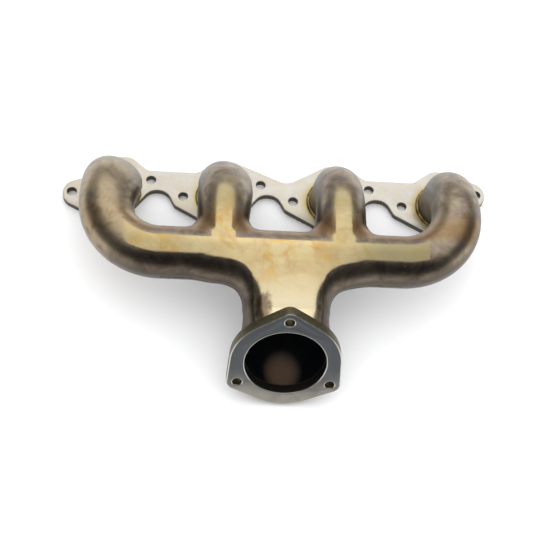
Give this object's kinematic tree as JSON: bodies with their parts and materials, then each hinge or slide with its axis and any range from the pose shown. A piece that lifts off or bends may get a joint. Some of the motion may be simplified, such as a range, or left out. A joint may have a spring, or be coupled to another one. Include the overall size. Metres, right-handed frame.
{
  "type": "exhaust manifold",
  "caption": "Welded tubular exhaust manifold: bolt-on header flange, bent runners, pressed log collector and tilted three-bolt outlet flange.",
  "frame": {"origin": "middle of the header bolt pattern, on the gasket face of the header flange", "axes": "+X along the row of ports, +Z out of the cylinder head, -Y from the ports towards the outlet"},
  "size_m": [0.4748, 0.2946, 0.1175],
  "materials": {
    "header_plate": "satin ground plate",
    "runner_tube": "heat-stained, mottled olive brown",
    "shell_press": "linished, straw-gold heat tint",
    "outlet_plate": "machined face, grey",
    "weld_bead": "as-welded ripples, straw tint"
  },
  "bodies": {
    "root": {"header_flange": "header_plate", "runner_1": "runner_tube", "runner_2": "runner_tube", "runner_3": "runner_tube", "runner_4": "runner_tube", "front_shell": "shell_press", "back_shell": "shell_press", "outlet_flange": "outlet_plate", "port_weld_1": "weld_bead", "port_weld_2": "weld_bead", "port_weld_3": "weld_bead", "port_weld_4": "weld_bead", "runner_weld_2": "weld_bead", "runner_weld_3": "weld_bead", "elbow_weld_1": "weld_bead", "elbow_weld_4": "weld_bead", "seam_weld_lower_left": "weld_bead", "seam_weld_lower_right": "weld_bead", "seam_weld_upper_left": "weld_bead", "seam_weld_upper_middle": "weld_bead", "seam_weld_upper_right": "weld_bead", "outlet_weld": "weld_bead"}
  },
  "joints": []
}
